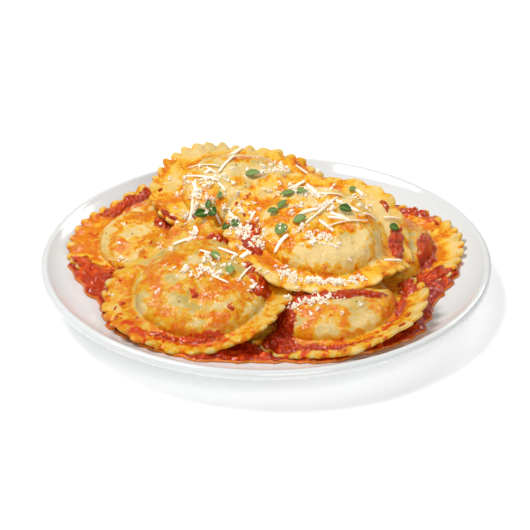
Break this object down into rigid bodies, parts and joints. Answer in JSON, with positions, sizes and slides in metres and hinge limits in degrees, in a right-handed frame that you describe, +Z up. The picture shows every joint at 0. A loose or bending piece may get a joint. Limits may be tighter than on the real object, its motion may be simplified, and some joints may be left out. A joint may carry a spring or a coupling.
{
  "type": "plate of ravioli",
  "caption": "Round fluted ravioli overlapping in chunky tomato sauce on a shallow white plate, topped with cheese shreds and thyme.",
  "frame": {"origin": "middle of the plate's foot, on the surface that the plate stands on", "axes": "+Z up out of the plate; -Y is the front of the serving, and +X is its right as seen from the front"},
  "size_m": [0.21, 0.21, 0.0477],
  "materials": {
    "plate": "smooth glossy white glaze",
    "pasta": "moist cooked egg pasta, cream to golden, stained orange by the sauce",
    "sauce": "wet chunky tomato sauce with orange oil at its edge",
    "cheese": "finely shredded and grated hard cheese",
    "herb": "fresh thyme leaves",
    "pepper": "coarse ground black pepper"
  },
  "bodies": {
    "root": {"plate": "plate", "sauce": "sauce", "ravioli_left": "pasta", "ravioli_right": "pasta", "ravioli_front_right": "pasta", "ravioli_back": "pasta", "ravioli_front_left": "pasta", "ravioli_top": "pasta"}
  },
  "joints": []
}
